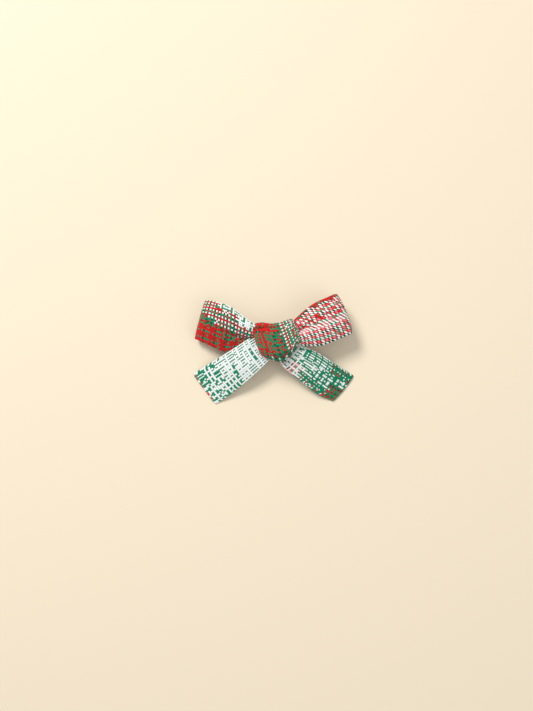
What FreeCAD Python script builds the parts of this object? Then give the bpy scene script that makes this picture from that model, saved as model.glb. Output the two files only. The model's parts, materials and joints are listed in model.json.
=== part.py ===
import FreeCAD, Part
import math
import os
import Sketcher
from FreeCAD import Placement, Rotation, Vector

# A hand-tied fabric hair bow on a lined metal alligator clip.  Millimetres, +Z up.  The origin is on
# the surface that the bow lies on, at the centre of its outline; +X runs along the clip to its tab.

# Cloth, knot and clip: the driving dimensions, in the order (alias, value, what it is).
GENERAL = [
    ("knot_x", 0.9, "knot centre, across"),
    ("knot_y", 7.35, "knot centre, up the bow"),
    ("knot_turn", 20, "angle of the knot strap from square, degrees"),
    ("knot_middle", 16.4, "height of the knot's middle"),
    ("cloth", 1.0, "thickness of the sewn two-ply strip"),
    ("knot_left_at", -12.8, "left mouth of the knot"),
    ("knot_left_centre", 2.4, "left mouth, middle across the strap"),
    ("knot_left_span", 8.6, "left mouth, half of its span"),
    ("knot_left_rise", 4.4, "left mouth, half of its height"),
    ("knot_mid_at", 0, "widest section of the knot"),
    ("knot_mid_centre", -3.9, "widest section, middle across the strap"),
    ("knot_mid_span", 11.9, "widest section, half of its span"),
    ("knot_mid_rise", 5.5, "widest section, half of its height"),
    ("knot_right_at", 13.8, "right mouth of the knot"),
    ("knot_right_centre", -0.8, "right mouth, middle across the strap"),
    ("knot_right_span", 7.2, "right mouth, half of its span"),
    ("knot_right_rise", 4.4, "right mouth, half of its height"),
    ("corner_round", 1.8, "rounding of the strip's sewn corners"),
    ("plan_height", 60, "height of the prisms cut to a span's plan, more than the bow's"),
    ("side_width", 80, "width of the bands bent to a span's side view, more than a span's"),
    ("clip_shift", 3.5, "clip's centre line above the knot centre"),
    ("clip_tip", -18, "tip of the clip, from the knot centre"),
    ("clip_tail", 22, "end of the clip's thumb tabs"),
    ("steel", 0.6, "thickness of the clip's steel"),
    ("blade_width", 8, "width of the top blade"),
    ("blade_under", 8.9, "underside of the top blade"),
    ("blade_tip_round", 2.4, "rounding of the blade's front corners"),
    ("blade_tail_round", 3.2, "rounding of the blade's thumb end"),
    ("jaw_width", 6.2, "width of the bottom jaw"),
    ("jaw_set_back", 0.6, "how far the jaw's lip stands behind the blade's tip"),
    ("jaw_tip_height", 7.2, "underside of the bottom jaw behind its teeth"),
    ("jaw_belly_at", -4, "where the bottom jaw starts to drop"),
    ("jaw_belly_height", 5.6, "underside of the jaw there"),
    ("jaw_heel_at", 8.5, "bend between the jaw and its thumb tab"),
    ("jaw_heel_height", 3.7, "underside of that bend"),
    ("jaw_heel_steel", 0.618, "steel at that bend, measured upright"),
    ("jaw_ear_behind", 3.6, "root of the jaw's ears, behind the pivot"),
    ("jaw_ear_ahead", 4.6, "root of the jaw's ears, ahead of the pivot"),
    ("jaw_tail_round", 2.6, "rounding of the thumb tab's corners"),
    ("tooth_top", 8.45, "points of the teeth"),
    ("tooth_depth", 0.75, "depth of the notches between teeth"),
    ("tooth_pitch", 1.24, "spacing of the teeth"),
    ("notch_width", 1.04, "a notch between teeth, across its open side"),
    ("notch_rows", 3, "notches from the middle one to the end of the lip, both counted"),
    ("pivot_at", 7, "pivot, from the knot centre"),
    ("pivot_height", 6.6, "height of the pivot"),
    ("ear_radius", 2.1, "rounded end of the ears"),
    ("ear_half", 3, "half of the ears' width at the root"),
    ("pin_diameter", 1.6, "pivot pin"),
    ("pin_head", 2.6, "peened heads of the pin"),
    ("pin_head_thick", 0.45, "thickness of the pin's heads"),
    ("pin_gap", 0.05, "running clearance in the jaw's ears, on the radius"),
    ("wire", 0.6, "spring wire"),
    ("coil_radius", 1.5, "spring coil, to the middle of the wire"),
    ("coil_pitch", 0.72, "advance of one turn"),
    ("coil_turns", 4.5, "turns of the spring"),
    ("leg_reach", 8.5, "length of each spring leg"),
    ("leg_rise", 3.2, "slope of the upper leg, degrees"),
    ("leg_drop", 14.5, "slope of the lower leg, degrees"),
    ("lining", 0.4, "thickness of the clip's ribbon lining"),
    ("lining_width", 10, "width of the lining, a standard 10 mm ribbon"),
    ("lining_inner_end", -3, "where the lining ends inside the jaws"),
    ("lining_short", 1, "how far the lining stops short of the thumb end"),
    ("glue_length", 17, "glue pad, along the clip"),
    ("glue_width", 7, "glue pad, across the clip"),
    ("glue_round", 2.8, "rounding of the glue pad's corners"),
    ("glue_top", 12.6, "top of the glue before the knot beds into it"),
]

# The four free spans of the strip.  "turn" is the way a span points, "from" its start beside the knot
# centre, "_at" a distance along the span, "left" and "right" the offsets of its two edges.
SPANS = {
    "left_loop": dict(turn=171, from_x=0, from_y=3, root_at=8, root_left=2.2, root_right=-6,
                      waist_left_at=28.2, waist_left=15.1, waist_right_at=28.9, waist_right=-11.2,
                      end_left_at=48, end_left=11.4, end_right_at=44.9, end_right=-12.9, end_bow=80,
                      root_low=12.9, root_high=17.1, fold_at=42.2, fold_low=0.0, fold_high=12.2,
                      fold_bow=6.15, low_bow=66, high_bow=60),
    "right_loop": dict(turn=15, from_x=0, from_y=3, root_at=8, root_left=2.5, root_right=-9,
                       waist_left_at=19.2, waist_left=8.2, waist_right_at=23.3, waist_right=-14.4,
                       end_left_at=41.9, end_left=12.8, end_right_at=44.8, end_right=-12.7, end_bow=60,
                       root_low=12.6, root_high=17.2, fold_at=40.4, fold_low=9.4, fold_high=18.8,
                       fold_bow=4.8, low_bow=160, high_bow=75),
    "left_tail": dict(turn=216, from_x=-2, from_y=-2, root_at=5, root_left=8.9, root_right=-7,
                      waist_left_at=30, waist_left=11.4, waist_right_at=30, waist_right=-10.9,
                      end_left_at=51.2, end_left=10.9, end_right_at=51.3, end_right=-12.2, end_bow=200,
                      root_low=11.9, drop_at=29, drop_low=6.2, flat_at=47.5, low_bow=50),
    "right_tail": dict(turn=-35, from_x=2, from_y=-3, root_at=5, root_left=3.6, root_right=-7,
                       waist_left_at=18.9, waist_left=8.2, waist_right_at=25.3, waist_right=-11,
                       end_left_at=50.1, end_left=10.2, end_right_at=49.2, end_right=-11.1, end_bow=200,
                       root_low=11.9, drop_at=28, drop_low=6.2, flat_at=46, low_bow=50),
}
SEALED = 1.4        # cloth closed over at the root of a loop, in strip thicknesses
LEG_DRAWN = 0.95    # the legs' wire against the coil's, drawn thinner where it is straightened
ARC_SLACK = 0.02    # keeps the ends of an ear's rounding just inside its half circle, in millimetres
NEAR = 1            # an edge this close to the end of a part belongs to that end, in millimetres

doc = FreeCAD.newDocument("hair_bow")
sheet = doc.addObject("Spreadsheet::Sheet", "Sizes")


def fill_sheet():
    rows = list(GENERAL)
    for span, sizes in SPANS.items():
        rows += [(f"{span}_{key}", number, f"{span}: {key}") for key, number in sizes.items()]
    for row, (alias, number, meaning) in enumerate(rows, start=1):
        sheet.set(f"A{row}", meaning)
        sheet.set(f"B{row}", str(number))
        sheet.setAlias(f"B{row}", alias)
    doc.recompute()


def size(name):
    """One cell's value, for the few places that need a number."""
    return float(sheet.get(name))


def cell(name):
    """The expression that reads one cell."""
    return f"Sizes.{name}"


def new_body(label):
    body = doc.addObject("PartDesign::Body", label)
    body.Label = label
    return body


def new_sketch(body, name, role):
    """A sketch on one of the body's own origin planes."""
    sketch = body.newObject("Sketcher::SketchObject", name)
    plane = [item for item in body.Origin.OriginFeatures if item.Role == role][0]
    sketch.AttachmentSupport = [(plane, "")]
    sketch.MapMode = "FlatFace"
    return sketch


def bind(sketch, constraint, expression):
    index = sketch.addConstraint(constraint)
    sketch.setExpression(f"Constraints[{index}]", expression)


def arc_between(start, finish, radius):
    """The short arc from start to finish; it turns left where radius is above 0, else right."""
    chord = finish - start
    middle = (start + finish) * 0.5
    side = Vector(-chord.y, chord.x, 0).normalize()
    height = math.sqrt(max(radius * radius - chord.Length * chord.Length / 4, 0))
    centre = middle + side * math.copysign(height, radius)
    first, last = (start, finish) if radius > 0 else (finish, start)
    angles = [math.atan2(point.y - centre.y, point.x - centre.x) for point in (first, last)]
    return Part.ArcOfCircle(Part.Circle(centre, Vector(0, 0, 1), abs(radius)), *angles)


def outline(sketch, corners):
    """A closed chain; each corner is (x, y, radius of the edge that leaves it, or None)."""
    spots = [Vector(sketch.evalExpression(x), sketch.evalExpression(y), 0) for x, y, _ in corners]
    edges = []
    for number, (_, _, bow) in enumerate(corners):
        start, finish = spots[number], spots[(number + 1) % len(spots)]
        if bow is None:
            edges.append((sketch.addGeometry(Part.LineSegment(start, finish), False), 1, 2))
            continue
        radius = sketch.evalExpression(bow)
        ends = (1, 2) if radius > 0 else (2, 1)
        edges.append((sketch.addGeometry(arc_between(start, finish, radius), False), *ends))
    for number, (edge, _, last) in enumerate(edges):
        following, first, _ = edges[(number + 1) % len(edges)]
        sketch.addConstraint(Sketcher.Constraint("Coincident", edge, last, following, first))
    for (x, y, bow), spot, (edge, first, _) in zip(corners, spots, edges):
        bind(sketch, Sketcher.Constraint("DistanceX", -1, 1, edge, first, spot.x), x)
        bind(sketch, Sketcher.Constraint("DistanceY", -1, 1, edge, first, spot.y), y)
        if bow is not None:
            radius = abs(sketch.evalExpression(bow))
            bind(sketch, Sketcher.Constraint("Radius", edge, radius), f"abs({bow})")


def circle(sketch, x, y, diameter):
    centre = Vector(sketch.evalExpression(x), sketch.evalExpression(y), 0)
    radius = sketch.evalExpression(diameter) / 2
    edge = sketch.addGeometry(Part.Circle(centre, Vector(0, 0, 1), radius), False)
    bind(sketch, Sketcher.Constraint("DistanceX", -1, 1, edge, 3, centre.x), x)
    bind(sketch, Sketcher.Constraint("DistanceY", -1, 1, edge, 3, centre.y), y)
    bind(sketch, Sketcher.Constraint("Diameter", edge, radius * 2), diameter)


def box_outline(sketch, left, low, right, high):
    outline(sketch, [(left, low, None), (right, low, None), (right, high, None), (left, high, None)])


def pad(body, name, sketch, length, symmetric=True):
    feature = body.newObject("PartDesign::Pad", name)
    feature.Profile = sketch
    feature.SideType = "Symmetric" if symmetric else "One side"
    feature.setExpression("Length", length)
    doc.recompute()
    return feature


def pocket(body, name, sketch, length):
    """A cut of this length, half each side of its sketch; it has to take material away."""
    before = body.Shape.Volume
    feature = body.newObject("PartDesign::Pocket", name)
    feature.Profile = sketch
    feature.SideType = "Symmetric"
    feature.setExpression("Length", length)
    doc.recompute()
    if not body.Shape.Volume < before:
        raise SystemExit(f"{name} cuts nothing")
    return feature


def round_upright_edges(body, feature, name, radius, chosen):
    """Fillet the feature's edges that run along Z and lie where chosen(x, y) is true."""
    names = []
    for number, edge in enumerate(feature.Shape.Edges, start=1):
        box = edge.BoundBox
        if box.ZLength > 1e-3 and box.XLength + box.YLength < 1e-6 and chosen(box.XMin, box.YMin):
            names.append(f"Edge{number}")
    fillet = body.newObject("PartDesign::Fillet", name)
    fillet.Base = (feature, names)
    fillet.setExpression("Radius", radius)
    doc.recompute()
    return fillet


def place(thing, x, y, turn=None):
    """Bind a Placement to the sheet: a spot on the plan, and a turn about +Z in degrees."""
    thing.Placement = Placement(Vector(0, 0, 0), Rotation(Vector(0, 0, 1), 1))
    thing.setExpression("Placement.Base.x", x)
    thing.setExpression("Placement.Base.y", y)
    thing.setExpression("Placement.Rotation.Angle", f"{turn or 0} * 1 deg")


def combine(kind, label, base, tool):
    thing = doc.addObject(kind, label)
    thing.Label = label
    thing.Base = base
    thing.Tool = tool
    return thing


# The knot ------------------------------------------------------------------------------------------

def knot_section(name, part, shrink):
    """An ellipse across the knot: wide along the strap, upright in Z."""
    ring = doc.addObject("Part::Ellipse", name)
    ring.Placement = Placement(Vector(0, 0, 0), Rotation(Vector(1, 1, 1), 120))
    ring.setExpression("MajorRadius", f"Sizes.knot_{part}_span - {shrink}")
    ring.setExpression("MinorRadius", f"Sizes.knot_{part}_rise - {shrink}")
    ring.setExpression("Placement.Base.x", cell(f"knot_{part}_at"))
    ring.setExpression("Placement.Base.y", cell(f"knot_{part}_centre"))
    ring.setExpression("Placement.Base.z", cell("knot_middle"))
    return ring


def knot_barrel(label, shrink):
    """A solid barrel through the knot's left, middle and right sections."""
    barrel = doc.addObject("Part::Loft", label)
    barrel.Label = label
    barrel.Sections = [knot_section(f"{label}_{part}", part, shrink) for part in ("left", "mid", "right")]
    barrel.Solid = True
    barrel.Ruled = False
    place(barrel, cell("knot_x"), cell("knot_y"), cell("knot_turn"))
    return barrel


def make_knot():
    """The strap is a closed band round the bow's middle; the gathered cloth inside it is the core."""
    outer = knot_barrel("knot_outside", "0")
    inner = knot_barrel("knot_inside", cell("cloth"))
    strap = combine("Part::Cut", "knot_strap", outer, inner)
    core = knot_barrel("knot_core", cell("cloth"))
    return outer, [strap, core]


# The loops and tails -------------------------------------------------------------------------------

def span_plan(span):
    """The span seen from above, as a tall prism with its far corners rounded."""
    c = lambda key: cell(f"{span}_{key}")
    body = new_body(f"{span}_plan")
    sketch = new_sketch(body, f"{span}_plan_outline", "XY_Plane")
    outline(sketch, [
        (c("root_at"), c("root_right"), None),
        (c("waist_right_at"), c("waist_right"), None),
        (c("end_right_at"), c("end_right"), c("end_bow")),
        (c("end_left_at"), c("end_left"), None),
        (c("waist_left_at"), c("waist_left"), None),
        (c("root_at"), c("root_left"), None),
    ])
    prism = pad(body, f"{span}_prism", sketch, cell("plan_height"))
    far = min(size(f"{span}_end_left_at"), size(f"{span}_end_right_at")) - NEAR
    round_upright_edges(body, prism, f"{span}_corners", cell("corner_round"), lambda x, y: x > far)
    return body


def loop_side(span):
    """The loop seen from the side: the strip goes out low, turns at the fold and comes back high."""
    c = lambda key: cell(f"{span}_{key}")
    skin = cell("cloth")
    body = new_body(f"{span}_side")
    sketch = new_sketch(body, f"{span}_side_outline", "XZ_Plane")
    outline(sketch, [
        (c("root_at"), c("root_low"), f"-{c('low_bow')}"),
        (c("fold_at"), c("fold_low"), c("fold_bow")),
        (c("fold_at"), c("fold_high"), c("high_bow")),
        (c("root_at"), c("root_high"), None),
    ])
    outline(sketch, [
        (f"{c('root_at')} + {SEALED} * {skin}", f"{c('root_low')} + {skin}", f"-{c('low_bow')}"),
        (c("fold_at"), f"{c('fold_low')} + {skin}", f"{c('fold_bow')} - {skin}"),
        (c("fold_at"), f"{c('fold_high')} - {skin}", c("high_bow")),
        (f"{c('root_at')} + {SEALED} * {skin}", f"{c('root_high')} - {skin}", None),
    ])
    pad(body, f"{span}_band", sketch, cell("side_width"))
    return body


def tail_side(span):
    """The tail seen from the side: level at the knot, over and down, then flat on the surface."""
    c = lambda key: cell(f"{span}_{key}")
    skin = cell("cloth")
    body = new_body(f"{span}_side")
    sketch = new_sketch(body, f"{span}_side_outline", "XZ_Plane")
    tip = f"{c('end_left_at')} + 1"
    outline(sketch, [
        (c("root_at"), c("root_low"), f"-{c('low_bow')}"),
        (c("drop_at"), c("drop_low"), c("low_bow")),
        (c("flat_at"), "0", None),
        (tip, "0", None),
        (tip, skin, None),
        (c("flat_at"), skin, f"-{c('low_bow')}"),
        (c("drop_at"), f"{c('drop_low')} + {skin}", c("low_bow")),
        (c("root_at"), f"{c('root_low')} + {skin}", None),
    ])
    pad(body, f"{span}_band", sketch, cell("side_width"))
    return body


def make_span(span, side, knot_outside):
    """Side view and plan view crossed, set beside the knot, and cut back to the knot's surface."""
    whole = combine("Part::Common", f"{span}_whole", side(span), span_plan(span))
    place(whole, f"Sizes.knot_x + Sizes.{span}_from_x", f"Sizes.knot_y + Sizes.{span}_from_y",
          cell(f"{span}_turn"))
    return combine("Part::Cut", span, whole, knot_outside)


# The clip ------------------------------------------------------------------------------------------

CLIP_Y = "Sizes.knot_y + Sizes.clip_shift"
BLADE_TOP = "Sizes.blade_under + Sizes.steel"


def set_on_clip_line(thing):
    place(thing, cell("knot_x"), CLIP_Y)
    return thing


def make_ears(body, prefix, roots, width):
    """Two ears along the sides of a plate: straight at the root, which is (behind, ahead of) the
    pivot, and round about the pivot itself."""
    behind, ahead = roots
    pivot, reach, half = cell("pivot_at"), cell("ear_radius"), cell("ear_half")
    high = cell("pivot_height")
    hangs = body.evalExpression(behind) > size("pivot_height")
    sketch = new_sketch(body, f"{prefix}_ears_outline", "XZ_Plane")
    outline(sketch, [
        (f"{pivot} + {half}", behind, None),
        (f"{pivot} - {half}", ahead, None),
        (f"{pivot} - {reach} + {ARC_SLACK}", high, reach if hangs else f"-{reach}"),
        (f"{pivot} + {reach} - {ARC_SLACK}", high, None),
    ])
    body.AllowCompound = True
    pad(body, f"{prefix}_ears", sketch, width)
    slot = new_sketch(body, f"{prefix}_slot_outline", "XZ_Plane")
    box_outline(slot, "Sizes.pivot_at - 2 * Sizes.ear_half", "0",
                "Sizes.pivot_at + 2 * Sizes.ear_half", "2 * Sizes.blade_under")
    pocket(body, f"{prefix}_slot", slot, f"{width} - 2 * Sizes.steel")


def bore_ears(body, prefix, diameter):
    bore = new_sketch(body, f"{prefix}_bore_outline", "XZ_Plane")
    circle(bore, cell("pivot_at"), cell("pivot_height"), diameter)
    pocket(body, f"{prefix}_bore", bore, "2 * Sizes.blade_width")


def make_top_blade():
    body = new_body("clip_top_blade")
    root = "Sizes.blade_under + Sizes.steel / 2"
    make_ears(body, "blade", (root, root), cell("blade_width"))
    side = new_sketch(body, "blade_side", "XZ_Plane")
    box_outline(side, cell("clip_tip"), cell("blade_under"), cell("clip_tail"), BLADE_TOP)
    plate = pad(body, "blade_plate", side, cell("blade_width"))
    tips = round_upright_edges(body, plate, "blade_tip_corners", cell("blade_tip_round"),
                               lambda x, y: x < 0)
    round_upright_edges(body, tips, "blade_tail_corners", cell("blade_tail_round"),
                        lambda x, y: x > size("clip_tail") - NEAR)
    bore_ears(body, "blade", cell("pin_diameter"))
    return set_on_clip_line(body)


def round_thumb_tab(body):
    """Cut the two corners of the sloping thumb tab to an arc, seen from above."""
    corners = new_sketch(body, "tab_corners", "XY_Plane")
    for sign, bow in (("1", "-Sizes.jaw_tail_round"), ("-1", "Sizes.jaw_tail_round")):
        edge = f"{sign} * Sizes.jaw_width / 2"
        inner = f"{sign} * (Sizes.jaw_width / 2 - Sizes.jaw_tail_round)"
        outer = f"{sign} * (Sizes.jaw_width / 2 + 1)"
        outline(corners, [
            ("Sizes.clip_tail - Sizes.jaw_tail_round", edge, bow),
            ("Sizes.clip_tail", inner, None),
            ("Sizes.clip_tail + 1", inner, None),
            ("Sizes.clip_tail + 1", outer, None),
            ("Sizes.clip_tail - Sizes.jaw_tail_round", outer, None),
        ])
    pocket(body, "tab_corner_cuts", corners, cell("plan_height"))


def make_bottom_jaw():
    """A bent steel strip: a toothed lip at the tip, a long jaw, a heel, and the thumb tab behind."""
    body = new_body("clip_bottom_jaw")
    steel = cell("steel")
    make_ears(body, "jaw", (cell("jaw_ear_behind"), cell("jaw_ear_ahead")), cell("jaw_width"))
    tip = "Sizes.clip_tip + Sizes.jaw_set_back"
    side = new_sketch(body, "jaw_side", "XZ_Plane")
    outline(side, [
        (tip, cell("jaw_tip_height"), None),
        (cell("jaw_belly_at"), cell("jaw_belly_height"), None),
        (cell("jaw_heel_at"), cell("jaw_heel_height"), None),
        (cell("clip_tail"), "0", None),
        (cell("clip_tail"), steel, None),
        (cell("jaw_heel_at"), "Sizes.jaw_heel_height + Sizes.jaw_heel_steel", None),
        (cell("jaw_belly_at"), f"Sizes.jaw_belly_height + {steel}", None),
        (f"{tip} + {steel}", f"Sizes.jaw_tip_height + {steel}", None),
        (f"{tip} + {steel}", cell("tooth_top"), None),
        (tip, cell("tooth_top"), None),
    ])
    pad(body, "jaw_plate", side, cell("jaw_width"))
    round_thumb_tab(body)
    bore_ears(body, "jaw", "Sizes.pin_diameter + 2 * Sizes.pin_gap")
    notch = new_sketch(body, "notch_outline", "YZ_Plane")
    notch.setExpression("AttachmentOffset.Base.z", f"{tip} + {steel} / 2")
    outline(notch, [
        ("0", "Sizes.tooth_top - Sizes.tooth_depth", None),
        ("Sizes.notch_width / 2", "Sizes.tooth_top + Sizes.tooth_depth / 8", None),
        ("-1 * Sizes.notch_width / 2", "Sizes.tooth_top + Sizes.tooth_depth / 8", None),
    ])
    cut = pocket(body, "notch", notch, "Sizes.steel * 2")
    for name, direction in (("notches_left", 1), ("notches_right", -1)):
        row = body.newObject("PartDesign::LinearPattern", name)
        row.Originals = [cut]
        row.Direction = (notch, ["H_Axis"])
        row.Reversed = direction < 0
        row.setExpression("Occurrences", cell("notch_rows"))
        row.setExpression("Length", "Sizes.tooth_pitch * (Sizes.notch_rows - 1)")
        body.Tip = row
        doc.recompute()
    return set_on_clip_line(body)


def make_pivot_pin():
    """A turned pin with a peened head at each end, outside the blade's ears."""
    body = new_body("clip_pivot_pin")
    sketch = new_sketch(body, "pin_half", "XZ_Plane")
    half, head = "Sizes.blade_width / 2", "Sizes.pin_head / 2"
    end = "Sizes.blade_width / 2 + Sizes.pin_head_thick"
    shaft = "Sizes.pin_diameter / 2"
    outline(sketch, [
        ("0", f"-1 * ({end})", None), (head, f"-1 * ({end})", None), (head, f"-1 * ({half})", None),
        (shaft, f"-1 * ({half})", None), (shaft, half, None), (head, half, None),
        (head, end, None), ("0", end, None),
    ])
    turned = body.newObject("PartDesign::Revolution", "pin_turned")
    turned.Profile = sketch
    turned.ReferenceAxis = (sketch, ["V_Axis"])
    turned.Angle = 360
    doc.recompute()
    body.Placement = Placement(Vector(0, 0, 0), Rotation(Vector(1, 0, 0), 90))
    body.setExpression("Placement.Base.x", "Sizes.knot_x + Sizes.pivot_at")
    body.setExpression("Placement.Base.y", CLIP_Y)
    body.setExpression("Placement.Base.z", cell("pivot_height"))
    return body


def spring_leg(start, degrees, wire):
    """A straight leg towards +X; it starts a little inside the end of the coil, to be one with it."""
    slope, inside = math.radians(degrees), wire
    along = Vector(math.cos(slope), math.sin(slope), 0)
    return Part.makeCylinder(wire * LEG_DRAWN, size("leg_reach") + inside, start - along * inside, along)


def make_spring():
    """A torsion spring round the pin: open coils, one leg under the blade and one along the tab."""
    radius, wire = size("coil_radius"), size("wire") / 2
    length = size("coil_pitch") * size("coil_turns")
    helix = Part.makeHelix(size("coil_pitch"), length, radius)
    section = Part.Wire(Part.makeCircle(wire, Vector(radius, 0, 0), Vector(0, 1, 0)))
    coil = Part.Wire(helix.Edges).makePipeShell([section], True, True)
    coil.rotate(Vector(0, 0, 0), Vector(0, 0, 1), 90)
    upper = spring_leg(Vector(0, radius, 0), size("leg_rise"), wire)
    lower = spring_leg(Vector(0, -radius, length), -size("leg_drop"), wire)
    spring = doc.addObject("Part::Feature", "clip_spring")
    spring.Shape = coil.fuse([upper, lower]).Solids[0]
    spring.Placement = Placement(
        Vector(size("knot_x") + size("pivot_at"),
               size("knot_y") + size("clip_shift") + length / 2, size("pivot_height")),
        Rotation(Vector(1, 0, 0), 90))
    return spring


def make_lining():
    """Ribbon glued along the top of the blade, over its tip and back inside the jaws."""
    body = new_body("clip_lining")
    ribbon = cell("lining")
    side = new_sketch(body, "lining_side", "XZ_Plane")
    outline(side, [
        ("Sizes.clip_tail - Sizes.lining_short", BLADE_TOP, None),
        ("Sizes.clip_tail - Sizes.lining_short", f"{BLADE_TOP} + {ribbon}", None),
        (f"Sizes.clip_tip - {ribbon}", f"{BLADE_TOP} + {ribbon}", None),
        (f"Sizes.clip_tip - {ribbon}", f"Sizes.blade_under - {ribbon}", None),
        (cell("lining_inner_end"), f"Sizes.blade_under - {ribbon}", None),
        (cell("lining_inner_end"), cell("blade_under"), None),
        (cell("clip_tip"), cell("blade_under"), None),
        (cell("clip_tip"), BLADE_TOP, None),
    ])
    pad(body, "lining_ribbon", side, cell("lining_width"))
    return set_on_clip_line(body)


def make_glue_pad(knot_outside):
    """Hot glue between the lining and the underside of the knot, which beds into it."""
    body = new_body("glue_blob")
    plan = new_sketch(body, "glue_plan", "XY_Plane")
    plan.setExpression("AttachmentOffset.Base.z", f"{BLADE_TOP} + Sizes.lining")
    half, side = "Sizes.glue_length / 2", "Sizes.glue_width / 2"
    box_outline(plan, f"-1 * {half}", f"-1 * {side}", half, side)
    blob = pad(body, "glue_thickness", plan, f"Sizes.glue_top - ({BLADE_TOP} + Sizes.lining)",
               symmetric=False)
    round_upright_edges(body, blob, "glue_corners", cell("glue_round"), lambda x, y: True)
    set_on_clip_line(body)
    return combine("Part::Cut", "glue_pad", body, knot_outside)


# Build, test and write -----------------------------------------------------------------------------

def check_and_write(parts):
    doc.recompute()
    for thing in doc.Objects:
        if "Invalid" in thing.State or "Error" in thing.State:
            raise SystemExit(f"{thing.Label} failed: {thing.State}")
    os.makedirs("parts", exist_ok=True)
    for part in parts:
        shape = part.Shape
        if shape.isNull() or not shape.isValid():
            raise SystemExit(f"{part.Label} has no valid shape")
        box = shape.optimalBoundingBox()
        print(f"{part.Label}: {len(shape.Solids)} solid, {shape.Volume:.1f} mm3, "
              f"x {box.XMin:.1f} {box.XMax:.1f}, y {box.YMin:.1f} {box.YMax:.1f}, "
              f"z {box.ZMin:.2f} {box.ZMax:.2f}")
        shape.exportStep(f"parts/{part.Label}.step")


fill_sheet()
knot_outside, parts = make_knot()
for name in ("left_loop", "right_loop"):
    parts.append(make_span(name, loop_side, knot_outside))
for name in ("left_tail", "right_tail"):
    parts.append(make_span(name, tail_side, knot_outside))
parts += [make_top_blade(), make_bottom_jaw(), make_pivot_pin(), make_spring(), make_lining(),
          make_glue_pad(knot_outside)]
check_and_write(parts)
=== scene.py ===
import json
import math

import bpy
import numpy as np
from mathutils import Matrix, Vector


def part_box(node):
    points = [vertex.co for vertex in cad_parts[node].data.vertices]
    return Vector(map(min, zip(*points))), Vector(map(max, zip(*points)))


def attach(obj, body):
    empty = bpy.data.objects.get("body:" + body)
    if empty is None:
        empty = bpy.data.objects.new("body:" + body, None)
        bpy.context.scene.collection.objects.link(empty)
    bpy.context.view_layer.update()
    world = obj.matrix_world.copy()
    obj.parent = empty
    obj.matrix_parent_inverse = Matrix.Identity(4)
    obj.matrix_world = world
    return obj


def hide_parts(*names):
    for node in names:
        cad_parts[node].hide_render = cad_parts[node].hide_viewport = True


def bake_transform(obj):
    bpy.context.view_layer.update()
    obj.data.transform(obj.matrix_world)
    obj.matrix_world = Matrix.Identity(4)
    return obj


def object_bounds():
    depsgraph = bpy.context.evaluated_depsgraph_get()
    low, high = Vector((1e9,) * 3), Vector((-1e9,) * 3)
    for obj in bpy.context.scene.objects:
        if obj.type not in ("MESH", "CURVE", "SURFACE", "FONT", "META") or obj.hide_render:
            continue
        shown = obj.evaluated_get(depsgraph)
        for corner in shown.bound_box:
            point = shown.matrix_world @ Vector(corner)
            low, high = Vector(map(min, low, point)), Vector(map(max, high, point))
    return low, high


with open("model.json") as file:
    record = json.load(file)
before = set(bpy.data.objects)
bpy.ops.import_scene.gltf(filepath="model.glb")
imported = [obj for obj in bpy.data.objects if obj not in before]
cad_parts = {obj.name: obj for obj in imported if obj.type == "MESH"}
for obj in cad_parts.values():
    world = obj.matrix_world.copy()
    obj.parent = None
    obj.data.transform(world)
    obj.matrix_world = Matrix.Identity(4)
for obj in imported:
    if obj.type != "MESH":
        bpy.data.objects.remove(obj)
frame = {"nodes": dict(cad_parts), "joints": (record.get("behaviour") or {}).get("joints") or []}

CAD_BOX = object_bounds()
MM = 0.001
PLY = 1.0                     # thickness of the strip: two plies, sewn and turned, in millimetres
STEPS = 4                     # faces along one yarn between two crossings
RELIEF = 0.17                 # how far the yarns stand out of the strip, in millimetres
RISE, BACK = 0.5, 0.6         # a yarn's climb over a crossing and its rounded back, as shares of RELIEF
SLUB = 0.07                   # share of the short runs of yarn that take their neighbour's dye
FINE = 600                    # points that a curve is measured with
THICKNESS = {"W": 1.25, "P": 0.9, "R": 0.9, "G": 0.74, "D": 0.7}     # of each dye's yarns, relative
BAKE_RIM = 0.01               # free rim round each side's part of the bake map

# Places, in millimetres, from the frame.  The knot's centre is the point that the nets are set out
# from: halfway across the strap's box, and 10.75 mm in from its side towards the loops.
strap_low, strap_high = (np.array(corner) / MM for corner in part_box("knot_strap"))
KNOT = np.array([(strap_low[0] + strap_high[0]) / 2 + 0.05, strap_high[1] - 10.75, 0.0])


def srgb(red, green, blue, alpha=1.0):
    """A colour from 0-255 display values to the linear values that shaders use."""
    linear = [(c / 255 / 12.92 if c <= 10 else ((c / 255 + 0.055) / 1.055) ** 2.4)
              for c in (red, green, blue)]
    return (*linear, alpha)


DYES = {
    "W": srgb(247, 254, 252),
    "G": srgb(0, 142, 100),
    "R": srgb(214, 22, 24),
    "P": srgb(240, 128, 132),
    "D": srgb(14, 74, 46),
}


# Smooth surfaces through given points ----------------------------------------------------------------

def through(points, where, closed=False):
    """Catmull-Rom curve through points[k] (k along the first axis), read at where in 0..1."""
    points = np.asarray(points, float)
    count = len(points)
    if closed:
        spot = (np.asarray(where) % 1.0) * count
        index = np.floor(spot).astype(int) % count
        around = [points[(index + step) % count] for step in (-1, 0, 1, 2)]
    else:
        spot = np.clip(np.asarray(where), 0, 1) * (count - 1)
        index = np.clip(np.floor(spot).astype(int), 0, count - 2)
        first = 2 * points[0] - points[1]
        last = 2 * points[-1] - points[-2]
        padded = np.concatenate([first[None], points, last[None]])
        around = [padded[index + step] for step in (0, 1, 2, 3)]
    share = (spot - np.floor(spot) if closed else spot - index)
    share = share.reshape(share.shape + (1,) * (points.ndim - 1))
    before, here, ahead, beyond = around
    return 0.5 * (2 * here + (ahead - before) * share
                  + (2 * before - 5 * here + 4 * ahead - beyond) * share ** 2
                  + (3 * here - before - 3 * ahead + beyond) * share ** 3)


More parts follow.
